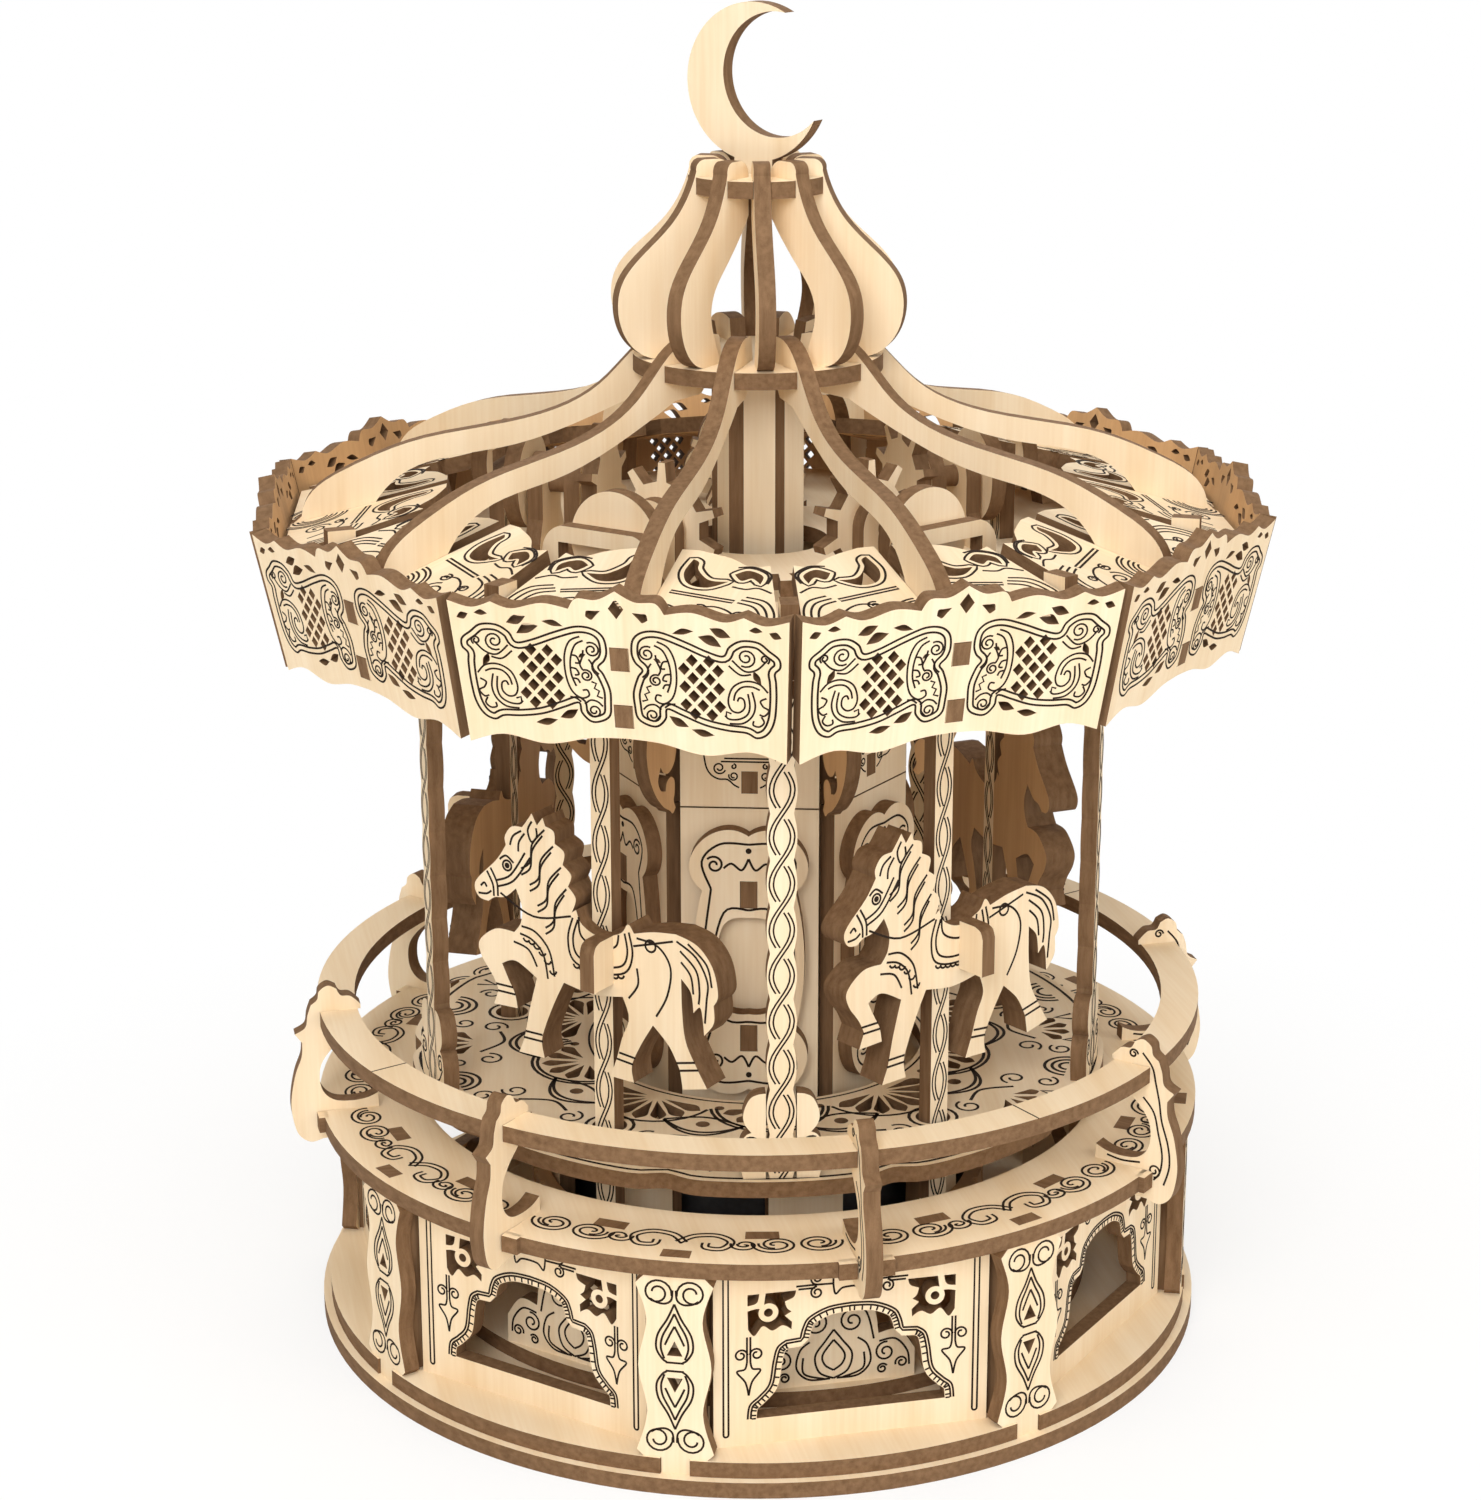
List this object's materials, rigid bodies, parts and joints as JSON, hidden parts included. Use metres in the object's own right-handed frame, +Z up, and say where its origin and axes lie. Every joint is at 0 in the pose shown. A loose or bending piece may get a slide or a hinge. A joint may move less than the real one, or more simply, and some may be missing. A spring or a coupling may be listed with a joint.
{
  "type": "carousel music box",
  "caption": "Plywood carousel music box: horses on poles rise and fall as the canopied platform turns about a fixed column, on a windowed base that holds a wind-up movement.",
  "frame": {"origin": "centre of the underside of the lower base disc, where the axis of rotation meets the table", "axes": "+Z up along the axis of rotation, the front of the picture towards -Y"},
  "size_m": [0.1874, 0.1874, 0.2472],
  "materials": {
    "plywood": "laser-cut birch plywood, pale faces and burnt brown edges",
    "black_plastic": "matt",
    "brass": "machined",
    "steel": "brushed"
  },
  "bodies": {
    "base": {"base_disc_lower": "plywood", "base_disc_upper": "plywood", "wall_panels": "plywood", "pilasters": "plywood", "pilaster_backs": "plywood", "plaque_ring": "plywood", "window_plaques": "plywood", "slatted_drum": "plywood", "drum_pillars": "plywood", "core_plate": "plywood", "deck_ring": "plywood", "rail_segments": "plywood", "rail_brackets": "plywood", "column_panels": "plywood", "column_frames": "plywood", "column_ribs": "plywood", "column_cap": "plywood", "capital_panels": "plywood", "capital_scrolls": "plywood", "sun_gear": "plywood", "movement_cover": "black_plastic", "post_bush": "brass", "movement_bedplate": "brass", "tone_comb": "steel"},
    "carousel": {"platform": "plywood", "canopy_columns": "plywood", "column_feet": "plywood", "canopy_floor": "plywood", "valance_panels": "plywood", "skirt_panels": "plywood", "corner_ties": "plywood", "roof_ribs": "plywood", "lower_collar": "plywood", "top_collar": "plywood", "dome_ribs": "plywood", "crescent": "plywood", "centre_post": "plywood", "crank_bearings": "plywood", "spring_barrel": "brass", "drive_shaft": "steel", "mainspring": "steel"},
    "crank_1": {"crank_1": "plywood"},
    "horse_1": {"horse_1": "plywood", "horse_pole_1": "plywood"},
    "crank_2": {"crank_2": "plywood"},
    "horse_2": {"horse_2": "plywood", "horse_pole_2": "plywood"},
    "crank_3": {"crank_3": "plywood"},
    "horse_3": {"horse_3": "plywood", "horse_pole_3": "plywood"},
    "crank_4": {"crank_4": "plywood"},
    "horse_4": {"horse_4": "plywood", "horse_pole_4": "plywood"},
    "crank_5": {"crank_5": "plywood"},
    "horse_5": {"horse_5": "plywood", "horse_pole_5": "plywood"},
    "pin_cylinder": {"pin_cylinder": "brass"},
    "governor": {"governor": "brass"},
    "winding_key": {"winding_key": "plywood"}
  },
  "joints": [
    {"name": "carousel_spin", "type": "hinge", "parent": "base", "child": "carousel", "pos_m": [0, 0, 0.045], "axis": [0, 0, 1], "continuous": true},
    {"name": "crank_1_spin", "type": "hinge", "parent": "carousel", "child": "crank_1", "pos_m": [0, 0, 0.1585], "axis": [0.454, -0.891, 0], "continuous": true},
    {"name": "horse_1_rise", "type": "slide", "parent": "carousel", "child": "horse_1", "axis": [0, 0, 1], "range_m": [-0.00415, 0.00785]},
    {"name": "crank_2_spin", "type": "hinge", "parent": "carousel", "child": "crank_2", "pos_m": [0, 0, 0.1585], "axis": [0.9877, 0.1564, 0], "continuous": true},
    {"name": "horse_2_rise", "type": "slide", "parent": "carousel", "child": "horse_2", "axis": [0, 0, 1], "range_m": [-0.01085, 0.00115]},
    {"name": "crank_3_spin", "type": "hinge", "parent": "carousel", "child": "crank_3", "pos_m": [0, 0, 0.1585], "axis": [0.1564, 0.9877, 0], "continuous": true},
    {"name": "horse_3_rise", "type": "slide", "parent": "carousel", "child": "horse_3", "axis": [0, 0, 1], "range_m": [0, 0.012]},
    {"name": "crank_4_spin", "type": "hinge", "parent": "carousel", "child": "crank_4", "pos_m": [0, 0, 0.1585], "axis": [-0.891, 0.454, 0], "continuous": true},
    {"name": "horse_4_rise", "type": "slide", "parent": "carousel", "child": "horse_4", "axis": [0, 0, 1], "range_m": [-0.01085, 0.00115]},
    {"name": "crank_5_spin", "type": "hinge", "parent": "carousel", "child": "crank_5", "pos_m": [0, 0, 0.1585], "axis": [-0.7071, -0.7071, 0], "continuous": true},
    {"name": "horse_5_rise", "type": "slide", "parent": "carousel", "child": "horse_5", "axis": [0, 0, 1], "range_m": [-0.00415, 0.00785]},
    {"name": "pin_cylinder_spin", "type": "hinge", "parent": "base", "child": "pin_cylinder", "pos_m": [0, -0.02, 0.0248], "axis": [0, -1, 0], "continuous": true},
    {"name": "governor_spin", "type": "hinge", "parent": "base", "child": "governor", "pos_m": [0, 0.01496, 0.012], "axis": [0, 0, 1], "continuous": true},
    {"name": "winding_key_turn", "type": "hinge", "parent": "base", "child": "winding_key", "pos_m": [0, 0, 0.002], "axis": [0, 0, 1], "range_deg": [0, 1440]}
  ],
  "couplings": [
    {"joint": "crank_1_spin", "follows": "carousel_spin", "ratio": -3},
    {"joint": "crank_2_spin", "follows": "carousel_spin", "ratio": -3},
    {"joint": "crank_3_spin", "follows": "carousel_spin", "ratio": -3},
    {"joint": "crank_4_spin", "follows": "carousel_spin", "ratio": -3},
    {"joint": "crank_5_spin", "follows": "carousel_spin", "ratio": -3},
    {"joint": "pin_cylinder_spin", "follows": "carousel_spin", "ratio": 3},
    {"joint": "governor_spin", "follows": "carousel_spin", "ratio": -4.5}
  ]
}
